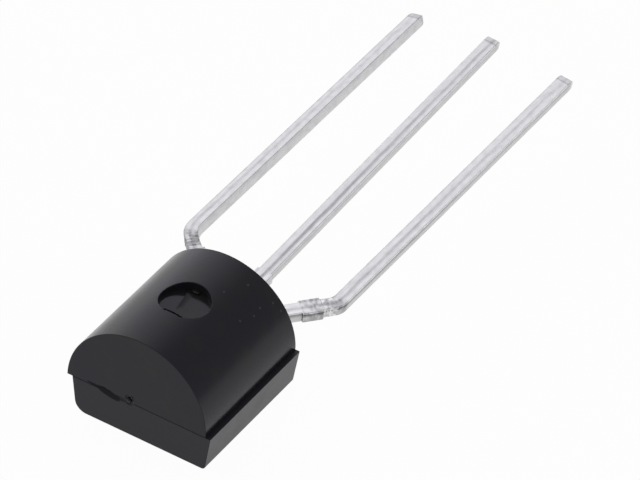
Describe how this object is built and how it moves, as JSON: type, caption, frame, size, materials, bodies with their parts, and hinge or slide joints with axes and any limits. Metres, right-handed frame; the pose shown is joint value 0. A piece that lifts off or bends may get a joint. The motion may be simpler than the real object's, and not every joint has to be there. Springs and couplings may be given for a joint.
{
  "type": "three-lead moulded transistor",
  "caption": "Small black moulded package with a round crown and a flat side, and a row of straight tinned leads formed out to a wider pitch.",
  "frame": {"origin": "centre of the flat side of the moulding", "axes": "+X across the row of leads, +Y from the moulding to the lead tips, +Z from the flat side up to the round crown"},
  "size_m": [0.0058, 0.0194, 0.0035],
  "materials": {
    "moulding": "satin black epoxy moulding compound",
    "tinned_lead": "matt tin over copper alloy, with tooling marks at the bends",
    "solder": "dull soft solder",
    "silicon": "polished silicon with metal pads",
    "gold_wire": "bright drawn gold"
  },
  "bodies": {
    "root": {"moulded_body": "moulding", "left_lead": "tinned_lead", "centre_lead": "tinned_lead", "right_lead": "tinned_lead", "die_solder": "solder", "silicon_die": "silicon", "left_bond_wire": "gold_wire", "right_bond_wire": "gold_wire"}
  },
  "joints": []
}
